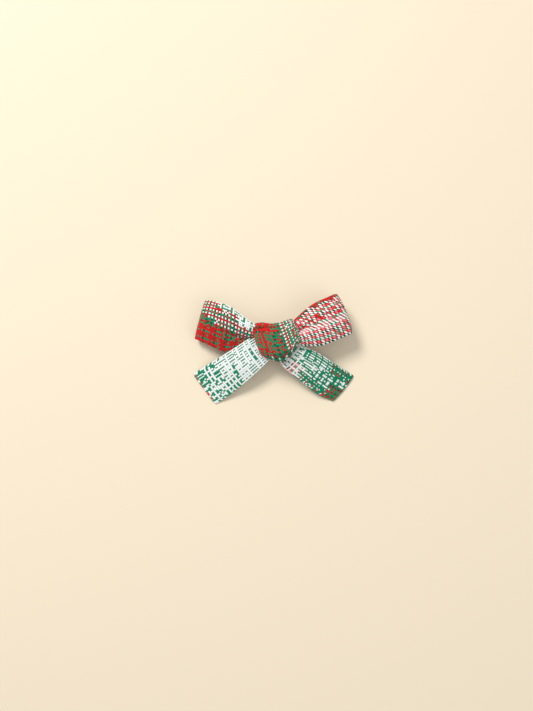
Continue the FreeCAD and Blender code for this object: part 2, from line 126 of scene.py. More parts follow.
def evenly(points, count, closed=False):
    """count+1 values of 0..1 that step evenly along the curve through the points."""
    fine = np.linspace(0, 1, FINE)
    run = through(points, fine, closed)
    length = np.concatenate([[0], np.cumsum(np.linalg.norm(np.diff(run, axis=0), axis=1))])
    return np.interp(np.linspace(0, length[-1], count + 1), length, fine), length[-1]


def smooth_step(low, high, value):
    """0 below low, 1 above high, and a smooth rise between them."""
    share = np.clip((value - low) / (high - low), 0, 1)
    return share * share * (3 - 2 * share)


def half_round(share):
    """Height of a half round, 0..1, where share 0..1 runs from its border inwards."""
    return np.sqrt(np.clip(1 - (1 - share) ** 2, 0, 1))


def normals_of(grid, closed):
    """Unit normals of a grid of points."""
    along = np.gradient(grid, axis=0)
    if closed:
        along[0] = along[-1] = (grid[1] - grid[-2]) / 2
    across = np.gradient(grid, axis=1)
    normal = np.cross(along, across)
    return normal / np.maximum(np.linalg.norm(normal, axis=2, keepdims=True), 1e-9)


# Weave ----------------------------------------------------------------------------------------------

def weave_height(along, across):
    """Height of plain weave, 0..1, at a place counted in yarns; the same formula shades it."""
    cell_a, cell_b = np.floor(along), np.floor(across)
    sign = np.where((cell_a + cell_b) % 2 < 1, 1.0, -1.0)
    x, y = along - cell_a - 0.5, across - cell_b - 0.5
    lengthwise = RISE * sign * np.cos(np.pi * x) + BACK * np.sqrt(np.maximum(1 - (y / 0.5) ** 2, 0))
    crosswise = -RISE * sign * np.cos(np.pi * y) + BACK * np.sqrt(np.maximum(1 - (x / 0.5) ** 2, 0))
    return np.maximum(lengthwise, crosswise)


def dye_faces(zones, cell_s, cell_t, rows, columns, skew):
    """Colours of the lengthwise and the crosswise yarn under each face, from a span's zones.

    A zone is (a_low, a_high, b_low, b_high, lengthwise yarns, crosswise yarns): a runs across the
    strip and b along it, 0..1, and the yarns' letters repeat.  The first zone that fits counts.
    The zones' borders are uneven by about a yarn, and the yarns are space-dyed: here and there a run
    of three crossings takes its neighbour's colour.
    """
    uneven, below_one, run, most = 0.035, 0.9999, 3, 512
    rng = np.random.default_rng(rows * 101 + columns)
    blur = rng.uniform(-uneven, uneven, (2, 4096))
    a = (cell_t + 0.5) / columns + blur[0, cell_s % 4096]
    b = (cell_s + 0.5 - skew * (cell_t + 0.5)) / rows + blur[1, cell_t % 4096] * 0.7
    a, b = np.clip(a, 0, below_one), np.clip(b, 0, below_one)
    runs = rng.uniform(0, 1, (2, most, most)) < SLUB
    start = rng.integers(0, run, (2, most))
    swapped = [runs[0, cell_t % most, (cell_s + start[0, cell_t % most]) // run % most],
               runs[1, cell_s % most, (cell_t + start[1, cell_s % most]) // run % most]]
    colours = np.zeros((2, len(a), 4))
    for a_low, a_high, b_low, b_high, *yarns in reversed(zones):
        inside = (a >= a_low) & (a < a_high) & (b >= b_low) & (b < b_high)
        for layer, letters, cell in ((0, yarns[0], cell_t), (1, yarns[1], cell_s)):
            table = np.array([DYES[letter] for letter in letters])
            colours[layer, inside] = table[(cell + swapped[layer])[inside] % len(letters)]
    return colours


def yarn_places(letters, count, seed):
    """Where each of count+1 yarn borders lies, 0..1, when the dyes' yarns differ in thickness."""
    rng = np.random.default_rng(seed)
    widths = np.array([THICKNESS[letters[k % len(letters)]] for k in range(count)])
    widths = widths * rng.uniform(0.85, 1.15, count)
    borders = np.concatenate([[0], np.cumsum(widths)])
    borders /= borders[-1]
    return np.interp(np.linspace(0, count, count * STEPS + 1), np.arange(count + 1), borders)


# Strip of cloth -------------------------------------------------------------------------------------

def strip(name, net, zones, yarn, shape, skew=0.0, closed=False, corner=1.8):
    """A flattened cloth tube over a net of points: net[k][m] is point m across, k along.

    yarn is the spacing of crossings in millimetres, (along, across); shape adds the folds; skew slants
    the crosswise yarns; corner is the radius of a free end's corners.
    """
    net = np.asarray(net, float)
    middle = net[:, net.shape[1] // 2]
    even_s, length = evenly(middle, FINE, closed)
    width = np.linalg.norm(np.diff(net[len(net) // 2], axis=0), axis=1).sum()
    rows, columns = int(round(length / yarn[0])), int(round(width / yarn[1]))
    if closed:
        rows += rows % 2                                          # the weave meets itself
    long_yarns, cross_yarns = zones[-1][4:]
    place_s = yarn_places(cross_yarns, rows, rows)
    steps_s = np.interp(place_s, np.linspace(0, 1, FINE + 1), even_s)
    steps_t = yarn_places(long_yarns, columns, columns)
    across = through(np.swapaxes(net, 0, 1), steps_t)             # (t, k, 3)
    lines = np.swapaxes(across, 0, 1)                             # (k, t, 3)
    if closed:
        grid = through(lines, steps_s, True)
    else:
        inwards = np.maximum(corner - np.minimum(steps_t, 1 - steps_t) * width, 0)
        pulled = corner - np.sqrt(np.maximum(corner ** 2 - inwards ** 2, 0))
        grid = np.stack([through(lines[:, n], steps_s * (1 - pulled[n] / length))
                         for n in range(len(steps_t))], axis=1)
    grid = shape(grid, place_s[:, None], steps_t[None, :])
    normal = normals_of(grid, closed)
    s_yarn = np.linspace(0, rows, rows * STEPS + 1)[:, None] + 0 * steps_t[None, :]
    t_yarn = np.linspace(0, columns, columns * STEPS + 1)[None, :] + 0 * s_yarn
    slanted = s_yarn + skew * t_yarn
    # the tube's half thickness falls to nothing at its borders, in a half round
    inset = np.minimum(steps_t, 1 - steps_t)[None, :] * width
    if not closed:
        inset = np.minimum(inset, np.minimum(place_s, 1 - place_s)[:, None] * length)
    rim = np.clip(inset / (PLY / 2), 0, 1)
    just_past = 1e-6                                              # off the line between two yarns
    bump = RELIEF * (weave_height(slanted + just_past, t_yarn + just_past) - BACK)
    half = (PLY / 2 * half_round(rim) + bump * rim)[..., None]
    return sew(name, grid + normal * half, grid - normal * half, slanted, t_yarn, zones,
               columns, rows, closed, skew)


def corners(values):
    """The four corner values of each face, in order, from a grid of values."""
    return np.stack([values[:-1, :-1], values[1:, :-1], values[1:, 1:], values[:-1, 1:]], axis=-1)


def sew(name, front, back, s_yarn, t_yarn, zones, columns, rows, closed, skew):
    """One closed mesh from the strip's front and back grids, which share their border points."""
    n_s, n_t = front.shape[:2]
    last = n_s - 1 if closed else n_s
    number = np.full((2, n_s, n_t), -1)
    inner_s = slice(0, last) if closed else slice(1, n_s - 1)
    number[0, :last, :] = np.arange(last * n_t).reshape(last, n_t)
    inner = np.zeros((n_s, n_t), bool)
    inner[inner_s, 1:n_t - 1] = True
    number[1][inner] = last * n_t + np.arange(inner.sum())
    number[1][:last][~inner[:last]] = number[0][:last][~inner[:last]]
    if closed:
        number[:, -1] = number[:, 0]
    points = np.concatenate([front[:last].reshape(-1, 3), back[inner]])
    faces, weave_uv, bake_uv, cell_s, cell_t = [], [], [], [], []
    place = np.arange(n_s)[:, None] / (n_s - 1) + 0 * t_yarn
    for side, turned in ((0, 1), (1, -1)):                        # the back's faces run the other way
        ring, s4, t4, p4 = (corners(values)[..., ::turned]
                            for values in (number[side], s_yarn, t_yarn, place))
        faces.append(ring.reshape(-1, 4))
        weave_uv.append(np.stack([s4, t4], -1).reshape(-1, 2))
        bake_t = BAKE_RIM + (0.5 - 2 * BAKE_RIM) * t4 / columns + 0.5 * side     # front below, back above
        bake_uv.append(np.stack([BAKE_RIM + (1 - 2 * BAKE_RIM) * p4, bake_t], -1).reshape(-1, 2))
        middle_s, middle_t = s4.mean(-1).ravel(), t4.mean(-1).ravel()
        cell_s.append(np.floor(middle_s))
        cell_t.append(np.clip(np.floor(middle_t), 0, columns - 1))
    cell_s, cell_t = (np.concatenate(cells).astype(int) for cells in (cell_s, cell_t))
    lengthwise, crosswise = dye_faces(zones, cell_s, cell_t, rows, columns, skew)
    piece = quad_mesh(name, points + KNOT, np.concatenate(faces))
    mesh = piece.data
    add_uv(mesh, "Weave", np.concatenate(weave_uv))
    add_uv(mesh, "OFBake", np.concatenate(bake_uv))
    add_colour(mesh, "long_yarn", np.repeat(lengthwise, 4, axis=0))
    add_colour(mesh, "cross_yarn", np.repeat(crosswise, 4, axis=0))
    return piece


def quad_mesh(name, points, faces):
    """A smooth-shaded mesh piece from points in millimetres and four-cornered faces."""
    mesh = bpy.data.meshes.new(name)
    mesh.vertices.add(len(points))
    mesh.vertices.foreach_set("co", (np.asarray(points) * MM).astype(np.float32).ravel())
    mesh.loops.add(len(faces) * 4)
    mesh.loops.foreach_set("vertex_index", faces.astype(np.int32).ravel())
    mesh.polygons.add(len(faces))
    mesh.polygons.foreach_set("loop_start", np.arange(0, len(faces) * 4, 4, dtype=np.int32))
    mesh.update(calc_edges=True)
    mesh.polygons.foreach_set("use_smooth", np.ones(len(mesh.polygons), bool))
    piece = bpy.data.objects.new(name, mesh)
    bpy.context.scene.collection.objects.link(piece)
    return piece


def add_uv(mesh, name, values):
    """A UV map from one place per face corner."""
    layer = mesh.uv_layers.new(name=name)
    layer.data.foreach_set("uv", values.astype(np.float32).ravel())


def add_colour(mesh, name, values):
    """A colour layer from one colour per face corner."""
    layer = mesh.color_attributes.new(name=name, type="FLOAT_COLOR", domain="CORNER")
    layer.data.foreach_set("color", values.astype(np.float32).ravel())


# Materials ------------------------------------------------------------------------------------------

class Nodes:
    """Short calls for building one material's node tree."""

    def __init__(self, name):
        self.material = bpy.data.materials.new(name)
        self.material.use_nodes = True
        self.tree = self.material.node_tree
        self.shader = self.tree.nodes["Principled BSDF"]

    def add(self, kind, **settings):
        node = self.tree.nodes.new(kind)
        for key, value in settings.items():
            setattr(node, key, value)
        return node

    def feed(self, node, *inputs):
        """Links or sets a node's inputs in order (None leaves one alone); gives its first output."""
        for number, value in enumerate(inputs):
            if value is None:
                continue
            if isinstance(value, bpy.types.NodeSocket):
                self.tree.links.new(value, node.inputs[number])
            else:
                node.inputs[number].default_value = value
        return node.outputs[0]

    def math(self, operation, *inputs):
        return self.feed(self.add("ShaderNodeMath", operation=operation), *inputs)

    def noise(self, scale, detail=2.0, roughness=0.5, where=None):
        node = self.add("ShaderNodeTexNoise")
        node.inputs["Scale"].default_value = scale
        node.inputs["Detail"].default_value = detail
        node.inputs["Roughness"].default_value = roughness
        if where:
            self.tree.links.new(where, node.inputs["Vector"])
        return node.outputs["Fac"]

    def mix(self, factor, one, other, blend="MIX"):
        node = self.add("ShaderNodeMix", data_type="RGBA", blend_type=blend)
        for socket, value in ((node.inputs[0], factor), (node.inputs[6], one), (node.inputs[7], other)):
            if isinstance(value, bpy.types.NodeSocket):
                self.tree.links.new(value, socket)
            else:
                socket.default_value = value
        return node.outputs[2]

    def bump(self, height, strength, distance, under=None):
        node = self.add("ShaderNodeBump")
        node.inputs["Strength"].default_value = strength
        node.inputs["Distance"].default_value = distance
        self.tree.links.new(height, node.inputs["Height"])
        if under:
            self.tree.links.new(under, node.inputs["Normal"])
        return node.outputs["Normal"]

    def set(self, **values):
        """Links or sets the shader's own inputs by name; gives the material."""
        for key, value in values.items():
            socket = self.shader.inputs[key.replace("_", " ")]
            if isinstance(value, bpy.types.NodeSocket):
                self.tree.links.new(value, socket)
            else:
                socket.default_value = value
        return self.material


def plaid_cloth():
    """Plain weave of dyed cotton yarns: which yarn lies on top comes from the Weave UV map."""
    n = Nodes("plaid_cloth")
    place = n.add("ShaderNodeUVMap", uv_map="Weave").outputs[0]
    axes = n.add("ShaderNodeSeparateXYZ")
    n.tree.links.new(place, axes.inputs[0])
    along, across = axes.outputs[0], axes.outputs[1]
    x = n.math("SUBTRACT", n.math("FRACT", along), 0.5)
    y = n.math("SUBTRACT", n.math("FRACT", across), 0.5)
    cell = n.math("ADD", n.math("FLOOR", along), n.math("FLOOR", across))
    odd = n.math("FLOORED_MODULO", cell, 2.0)
    sign = n.math("SUBTRACT", 1.0, n.math("MULTIPLY", odd, 2.0))

    def swell(value):
        return n.math("COSINE", n.math("MULTIPLY", value, math.pi))

    def back_of_yarn(value):
        square = n.math("POWER", n.math("ABSOLUTE", n.math("MULTIPLY", value, 2.0)), 2.0)
        return n.math("SQRT", n.math("MAXIMUM", n.math("SUBTRACT", 1.0, square), 0.0))

    up = n.math("MULTIPLY", n.math("MULTIPLY", sign, RISE), swell(x))
    down = n.math("MULTIPLY", n.math("MULTIPLY", sign, -RISE), swell(y))
    lengthwise = n.math("ADD", up, n.math("MULTIPLY", BACK, back_of_yarn(y)))
    crosswise = n.math("ADD", down, n.math("MULTIPLY", BACK, back_of_yarn(x)))
    on_top = n.math("GREATER_THAN", lengthwise, crosswise)
    height = n.math("MAXIMUM", lengthwise, crosswise)
    colours = [n.add("ShaderNodeVertexColor", layer_name=layer).outputs[0]
               for layer in ("cross_yarn", "long_yarn")]
    colour = n.mix(on_top, *colours)

    # twist of the two-fold yarn: slanted lines that run along whichever yarn is on top
    def twist(run, side):
        slant = n.math("ADD", n.math("MULTIPLY", run, 5.0), n.math("MULTIPLY", side, 3.2))
        return n.math("SINE", n.math("MULTIPLY", slant, 2 * math.pi))

    twisted = n.mix(on_top, twist(across, x), twist(along, y))
    # painted shade: each yarn darkens toward grey-brown where it dives down between its neighbours
    painted_gap_shade = n.math("MULTIPLY_ADD", height, 1.1, 0.06)
    painted_gap_shade = n.math("MINIMUM", n.math("MAXIMUM", painted_gap_shade, 0.0), 1.0)
    shaded = n.mix(painted_gap_shade, n.mix(1.0, colour, srgb(128, 124, 118), "MULTIPLY"), colour)

    # painted shade in the pinholes where four yarns dive under each other
    def corner(value):
        return n.math("POWER", n.math("ABSOLUTE", n.math("MULTIPLY", value, 2.0)), 2.6)

    pinhole_shade = n.math("MULTIPLY", n.math("MULTIPLY", corner(x), corner(y)), 0.8)
    shaded = n.mix(pinhole_shade, shaded, n.mix(1.0, shaded, srgb(84, 80, 72), "MULTIPLY"))
    uneven = n.noise(420.0, 3.0, 0.6)
    worn = n.mix(1.0, shaded, srgb(190, 188, 184), "MULTIPLY")
    colour = n.mix(n.math("MULTIPLY", uneven, 0.22), shaded, worn)
    ridges = n.math("MULTIPLY_ADD", twisted, 0.5, 0.5)
    fibre = n.bump(n.noise(5200.0, 2.0, 0.7), 0.25, 0.00006)
    normal = n.bump(height, 0.55, 0.00018, n.bump(ridges, 0.35, 0.00005, fibre))
    n.set(Base_Color=colour, Roughness=0.86, Normal=normal)
    return n.set(Sheen_Weight=0.18, Sheen_Roughness=0.45, Specular_IOR_Level=0.22)


def grosgrain():
    """Cream ribbon with fine cross ribs, and painted shade that darkens the valleys between them."""
    n = Nodes("lining_grosgrain")
    place = n.add("ShaderNodeUVMap", uv_map="Weave").outputs[0]
    axes = n.add("ShaderNodeSeparateXYZ")
    n.tree.links.new(place, axes.inputs[0])
    rib = n.math("ABSOLUTE", n.math("SINE", n.math("MULTIPLY", axes.outputs[0], math.pi)))
    thread = n.math("ABSOLUTE", n.math("SINE", n.math("MULTIPLY", axes.outputs[1], math.pi * 3)))
    # painted shade: the ribs' valleys are darker beige, their crests cream
    colour = n.mix(rib, srgb(176, 168, 150), srgb(238, 233, 219))
    colour = n.mix(n.math("MULTIPLY", n.noise(900.0), 0.25), colour, srgb(200, 192, 174))
    normal = n.bump(rib, 0.6, 0.0001, n.bump(thread, 0.3, 0.00003))
    n.set(Base_Color=colour, Roughness=0.62, Normal=normal)
    return n.set(Sheen_Weight=0.12, Specular_IOR_Level=0.35)


def nickel(name, tint, roughness):
    """Bright plated steel: faint rolling lines along X, soft scuffs and a few darker worn spots."""
    n = Nodes(name)
    where = n.add("ShaderNodeTexCoord").outputs["Object"]
    stretched = n.add("ShaderNodeMapping")
    stretched.inputs["Scale"].default_value = (40.0, 2600.0, 2600.0)
    n.tree.links.new(where, stretched.inputs["Vector"])
    lines = n.noise(1.0, 3.0, 0.6, stretched.outputs[0])
    scuffs = n.noise(700.0, 4.0, 0.7, where)
    worn = n.math("MAXIMUM", n.math("SUBTRACT", scuffs, 0.56), 0.0)
    colour = n.mix(n.math("MULTIPLY", worn, 2.2), tint, srgb(126, 122, 118))
    rough = n.math("ADD", n.math("MULTIPLY", scuffs, 0.24), roughness - 0.06)
    normal = n.bump(lines, 0.22, 0.00002, n.bump(scuffs, 0.1, 0.00004))
    return n.set(Base_Color=colour, Metallic=1.0, Roughness=rough, Normal=normal)


def hot_glue():
    """Milky hot-melt glue, slightly translucent, with a rippled skin."""
    n = Nodes("hot_glue")
    ripple = n.noise(420.0, 2.0, 0.5)
    colour = n.mix(ripple, srgb(226, 219, 200), srgb(246, 243, 232))
    n.set(Base_Color=colour, Normal=n.bump(ripple, 0.3, 0.0003))
    return n.set(Roughness=0.28, Subsurface_Weight=0.25, Subsurface_Scale=0.002, Specular_IOR_Level=0.5)


# The bow's cloth ------------------------------------------------------------------------------------
# Nets: each row runs across the strip from its upper edge to its lower one, the rows run from the
# knot outwards (and back, on a loop).  Millimetres from the knot's centre; heights from the surface.

LEFT_LOOP = [
    [(-8.0, 6.4, 16.6), (-8.0, 5.0, 18.0), (-9.0, 1.6, 15.0), (-9.0, -0.6, 13.6), (-9.0, -2.0, 12.6)],
    [(-14.6, 9.3, 16.0), (-15.0, 6.2, 18.4), (-16.4, 1.0, 14.4), (-17.2, -2.0, 11.0), (-17.6, -4.6, 9.8)],
    [(-26.8, 18.4, 13.8), (-27.0, 12.6, 17.0), (-27.6, 5.2, 14.6), (-28.8, -1.4, 11.4), (-30.0, -8.6, 7.4)],
    [(-36.0, 21.8, 11.6), (-37.4, 16.2, 14.4), (-38.8, 9.8, 13.9), (-40.4, 3.2, 12.2), (-41.6, -4.2, 8.4)],
    [(-41.2, 22.9, 9.0), (-42.9, 17.3, 10.8), (-44.4, 11.4, 10.9), (-46.1, 5.2, 9.8), (-47.4, -1.5, 7.0)],
    [(-42.4, 22.7, 6.2), (-44.3, 17.1, 6.6), (-45.9, 11.3, 6.6), (-47.6, 5.2, 6.0), (-49.0, -1.0, 5.0)],
    [(-41.2, 22.0, 3.0), (-42.9, 16.8, 2.2), (-44.4, 11.0, 1.9), (-46.1, 5.2, 1.9), (-47.2, -1.0, 2.8)],
    [(-35.6, 20.0, 4.4), (-37.0, 14.2, 3.2), (-38.4, 8.4, 3.0), (-39.6, 3.2, 3.4), (-40.4, -2.8, 4.2)],
    [(-26.4, 15.0, 9.2), (-26.8, 10.2, 8.6), (-27.4, 5.6, 8.3), (-28.0, 1.0, 7.6), (-28.4, -3.8, 5.8)],
    [(-16.6, 9.0, 12.8), (-17.0, 6.2, 12.0), (-17.2, 3.4, 11.7), (-17.4, 0.8, 11.2), (-17.4, -2.0, 9.0)],
    [(-8.4, 4.6, 13.2), (-8.4, 3.2, 13.0), (-8.4, 1.8, 12.8), (-8.4, 0.4, 12.4), (-8.4, -1.0, 12.0)],
]
RIGHT_LOOP = [
    [(8.0, 6.2, 17.0), (9.0, 3.6, 18.8), (9.4, 1.2, 17.6), (9.4, -1.6, 18.6), (8.8, -4.2, 16.0)],
    [(13.4, 12.4, 15.8), (14.6, 7.4, 18.6), (15.2, 3.6, 17.4), (15.8, -0.6, 19.0), (15.6, -4.9, 15.2)],
    [(22.6, 19.9, 16.6), (24.4, 13.6, 19.6), (25.6, 7.6, 20.2), (26.8, 1.4, 19.4), (27.4, -5.2, 15.6)],
    [(31.6, 24.2, 16.6), (33.8, 17.8, 19.0), (35.6, 11.4, 19.6), (37.2, 4.8, 18.9), (38.2, -1.2, 16.0)],
    [(35.8, 26.0, 15.8), (39.2, 20.2, 17.3), (41.6, 14.0, 17.7), (43.6, 7.8, 17.2), (44.9, 1.6, 15.6)],
    [(37.0, 26.0, 13.4), (40.6, 20.3, 13.8), (43.2, 14.2, 13.9), (45.4, 8.0, 13.7), (46.5, 2.2, 13.0)],
    [(35.8, 25.2, 11.0), (39.2, 19.8, 10.1), (41.6, 13.6, 9.8), (43.6, 7.8, 10.0), (44.8, 2.4, 10.6)],
    [(31.0, 22.0, 11.0), (33.0, 16.8, 10.3), (34.6, 11.2, 10.2), (36.0, 5.8, 10.4), (36.8, 0.8, 10.8)],
    [(22.4, 16.8, 12.0), (23.8, 12.4, 11.6), (24.8, 8.0, 11.5), (25.8, 3.4, 11.5), (26.2, -1.4, 11.8)],
    [(14.2, 8.8, 12.8), (14.8, 6.4, 12.5), (15.4, 3.8, 12.4), (15.8, 1.0, 12.4), (16.0, -2.0, 12.4)],
    [(8.6, 4.6, 13.2), (8.8, 3.2, 13.2), (9.0, 1.8, 13.2), (9.0, 0.4, 13.0), (9.0, -1.2, 12.8)],
]
LEFT_TAIL = [
    [(-7.4, 3.2, 12.9), (-6.0, -0.4, 13.4), (-4.4, -4.0, 13.2), (-2.8, -7.4, 12.8), (-1.2, -10.6, 12.2)],
    [(-14.4, 0.2, 12.7), (-12.2, -3.8, 13.4), (-9.8, -7.6, 13.5), (-7.0, -11.2, 13.0), (-4.4, -14.8, 11.9)],
    [(-26.4, -7.4, 9.2), (-24.2, -12, 10.4), (-21.6, -16.6, 10.6), (-18.6, -21, 10.1), (-15.4, -25.2, 8.6)],
    [(-38.6, -14.8, 4.4), (-36, -19.9, 5.2), (-32.8, -24.8, 5.3), (-29.2, -29.6, 4.8), (-25.8, -33.9, 3.7)],
    [(-48, -20.6, 1), (-44.9, -25.7, 1.4), (-41.4, -30.6, 1.5), (-37.8, -35.3, 1.3), (-34.2, -39.7, 0.9)],
    [(-51.1, -22.5, 0.8), (-47.6, -27.6, 0.8), (-44, -32.3, 0.8), (-40.6, -36.9, 0.8), (-37.2, -41.3, 0.8)],
]
RIGHT_TAIL = [
    [(9.0, -0.8, 12.6), (7.2, -3.4, 13.4), (5.2, -6.0, 13.4), (3.2, -8.8, 13.0), (1.2, -11.6, 12.4)],
    [(16.2, -4.9, 12.2), (13.8, -8.2, 13.6), (11.0, -11.4, 13.2), (7.8, -14.4, 13.4), (4.6, -17.4, 11.8)],
    [(25.6, -8.8, 9.6), (23.6, -13.0, 11.0), (20.8, -17.4, 10.9), (17.6, -21.6, 10.5), (14.2, -25.4, 8.8)],
    [(38.0, -16.6, 4.6), (35.8, -21.2, 5.4), (32.6, -25.8, 5.4), (29.0, -30.2, 4.9), (25.4, -34.2, 3.8)],
    [(46.6, -21.9, 1.1), (43.9, -26.6, 1.4), (40.6, -31.0, 1.5), (37.2, -35.2, 1.2), (33.9, -38.5, 0.9)],
    [(49.4, -23.7, 0.8), (46.2, -28.2, 0.8), (43.0, -32.4, 0.8), (39.7, -36.2, 0.8), (36.4, -39.6, 0.8)],
]

LEFT_LOOP_DYES = [
    (0.0, 0.34, 0.0, 0.18, "WWG", "WWGW"),
    (0.0, 0.16, 0.18, 0.34, "WG", "WWG"),
    (0.0, 0.66, 0.0, 0.18, "WRWG", "DRGD"),
    (0.0, 0.54, 0.18, 0.34, "WRWG", "RDGRD"),
    (0.0, 0.42, 0.34, 0.47, "WRWG", "RGRD"),
    (0.42, 0.60, 0.30, 0.47, "GRG", "GDR"),
    (0.52, 0.72, 0.0, 0.30, "RGR", "RDG"),
    (0.52, 1.0, 0.0, 0.47, "RRGR", "RDRRRG"),
    (0.0, 1.0, 0.47, 0.53, "GRG", "GGR"),
    (0.0, 0.40, 0.53, 1.0, "WG", "GW"),
    (0.0, 1.0, 0.0, 1.0, "RGRRG", "RGG"),
]
RIGHT_LOOP_DYES = [
    (0.0, 0.06, 0.0, 0.47, "RD", "RDG"),
    (0.0, 1.0, 0.475, 0.525, "GDG", "GGR"),
    (0.48, 0.60, 0.0, 0.475, "WP", "WRWP"),
    (0.0, 0.48, 0.0, 0.475, "RDRG", "WWPWR"),
    (0.0, 1.0, 0.0, 0.475, "RGRD", "WWWP"),
    (0.0, 1.0, 0.0, 1.0, "RGRD", "WWG"),
]
LEFT_TAIL_DYES = [
    (0.0, 1.0, 0.97, 1.0, "WRG", "WPD"),
    (0.0, 0.04, 0.60, 0.97, "G", "W"),
    (0.96, 1.0, 0.55, 0.97, "G", "W"),
    (0.0, 0.30, 0.88, 0.97, "GW", "GGW"),
    (0.0, 0.50, 0.80, 0.97, "WWGW", "GGW"),
    (0.0, 0.34, 0.60, 0.84, "WWWG", "GW"),
    (0.60, 1.0, 0.52, 0.80, "WWGW", "GW"),
    (0.45, 1.0, 0.80, 0.97, "WWGW", "GWGGW"),
    (0.0, 1.0, 0.64, 0.97, "GWWGW", "WGGWGW"),
    (0.36, 0.72, 0.14, 0.64, "WWWG", "WWGWW"),
    (0.0, 0.36, 0.0, 0.64, "WG", "WWWWGW"),
    (0.72, 1.0, 0.0, 0.64, "WG", "WWGWWWWW"),
    (0.0, 1.0, 0.0, 1.0, "WG", "WWWW"),
]
RIGHT_TAIL_DYES = [
    (0.58, 1.0, 0.0, 0.36, "WWWG", "WPWWR"),
    (0.0, 0.58, 0.0, 0.26, "WWWG", "WWG"),
    (0.50, 1.0, 0.80, 1.0, "RGGD", "GRG"),
    (0.0, 0.26, 0.66, 1.0, "WGRG", "GGD"),
    (0.0, 0.36, 0.26, 0.66, "WG", "GGGW"),
    (0.76, 1.0, 0.30, 0.80, "WG", "GRGG"),
    (0.0, 1.0, 0.26, 0.50, "WG", "GW"),
    (0.0, 1.0, 0.0, 1.0, "WGG", "GGGW"),
]
KNOT_DYES = [
    (0.22, 0.80, 0.0, 0.13, "GWGD", "GGRD"),
    (0.0, 0.50, 0.38, 0.56, "RRGR", "RRD"),
    (0.0, 0.36, 0.19, 0.38, "RG", "GR"),
    (0.0, 0.36, 0.0, 0.19, "GDR", "GRGRR"),
    (0.36, 0.50, 0.0, 0.38, "GRGGD", "GRGGR"),
    (0.50, 0.60, 0.0, 0.55, "GGR", "GGD"),
    (0.60, 1.0, 0.0, 0.55, "WGWRWG", "GGR"),
    (0.0, 1.0, 0.0, 1.0, "RGW", "GR"),
]


def pleats(depth, count, reach, phase=0.0, both_ends=False, tucks=()):
    """Gathers that run out from the knot: ridges along the strip, dying away by reach (0..1).

    A tuck is a sharper valley: (place across at the knot, and at its end, how far it runs, depth, width).
    """
    def shape(grid, s, t):
        fade = 1 - smooth_step(0.0, reach, s)
        if both_ends:
            fade = fade + 0.6 * (1 - smooth_step(0.0, reach, 1 - s))
        wave = np.sin(2 * np.pi * (count * t + phase)) + 0.4 * np.sin(2 * np.pi * (2.3 * count * t + 0.2))
        lifted = grid.copy()
        lifted[..., 2] += depth * fade * wave * np.sin(np.pi * t) ** 0.5
        for at_knot, at_end, run, deep, wide in tucks:
            line = at_knot + (at_end - at_knot) * s / run
            valley = deep * np.exp(-((t - line) / wide) ** 2)
            lifted[..., 2] -= valley * (1 - smooth_step(0.3 * run, run, s))
        return lifted
    return shape


def soften(shape, amount, seed):
    """The same shape with slow, low swells, as pressed cloth has."""
    rng = np.random.default_rng(seed)
    waves = [(rng.uniform(1, 4), rng.uniform(0.6, 2.2), rng.uniform(0, 6.28)) for _ in range(6)]

    def shaped(grid, s, t):
        moved = shape(grid, s, t)
        swell = sum(np.sin(2 * np.pi * (a * s + b * t) + c) for a, b, c in waves) / len(waves)
        borders = np.exp(-t / 0.05) + np.exp(-(1 - t) / 0.05)
        pucker = 0.10 * np.sin(2 * np.pi * 17 * s + seed) * borders          # along the turned edges
        moved[..., 2] += amount * swell * smooth_step(0, 0.08, s) + pucker
        return moved
    return shaped


def knot_ring():
    """Net of the strap: sections across the knot from its left mouth to its right one."""
    turn = math.radians(20)                                       # the strap's slant, seen from above
    squareness = 0.8
    u_axis = np.array([math.cos(turn), math.sin(turn), 0])
    v_axis = np.array([-math.sin(turn), math.cos(turn), 0])
    # (u, lowest v, highest v, underside, top) of each section
    sections = [
        (-11.7, -5.4, 9.4, 12.4, 18.4),
        (-9.6, -8.8, 11.4, 11.6, 20.0),
        (-4.6, -13.0, 10.6, 11.3, 21.4),
        (0.5, -15.2, 8.0, 11.2, 21.9),
        (6.0, -12.6, 7.0, 11.3, 21.3),
        (11.0, -9.6, 6.9, 11.8, 20.4),
        (13.9, -7.4, 6.4, 12.6, 19.2),
    ]
    points_round = 12
    net = []
    for share in np.arange(points_round) / points_round:
        angle = math.pi / 2 + 2 * math.pi * share + math.pi * 0.75
        row = []
        for u, low, high, under, top in sections:
            c, s = math.cos(angle), math.sin(angle)
            v = (low + high) / 2 + (high - low) / 2 * math.copysign(abs(c) ** squareness, c)
            z = (under + top) / 2 + (top - under) / 2 * math.copysign(abs(s) ** squareness, s)
            row.append(u * u_axis + v * v_axis + np.array([0, 0, z]))
        net.append(row)
    return net[::-1]


def knot_creases(grid, s, t):
    """Soft folds round the strap, a tuck by its upper left corner and a step by its lower border."""
    moved = grid.copy()
    top = smooth_step(13.0, 17.5, grid[..., 2])                   # 1 on the strap's upper side
    wide_fold = 0.55 * np.sin(2 * np.pi * (2.2 * t + 0.35 * s))
    fine_fold = 0.3 * np.sin(2 * np.pi * (4.1 * t - 0.5 * s + 0.3))
    moved[..., 2] += top * (wide_fold + fine_fold) * np.sin(np.pi * t) ** 0.6
    cos_slant, sin_slant = 0.94, 0.34
    along = grid[..., 0] * cos_slant + grid[..., 1] * sin_slant
    side = -grid[..., 0] * sin_slant + grid[..., 1] * cos_slant
    tuck = np.exp(-((side - 7.6 + 0.12 * (along + 8)) / 0.9) ** 2) * (1 - smooth_step(-6.0, 3.0, along))
    moved[..., 2] -= 1.1 * tuck * top
    # the strap's lower border lies on the strip's root: a step down, then the root's own edge
    border = -11.2 + 0.016 * (along + 3) ** 2
    step = (1 - smooth_step(-0.5, 0.5, side - border)) * np.exp(-((along - 1) / 9) ** 4)
    moved[..., 2] -= 2.0 * top * step
    return moved


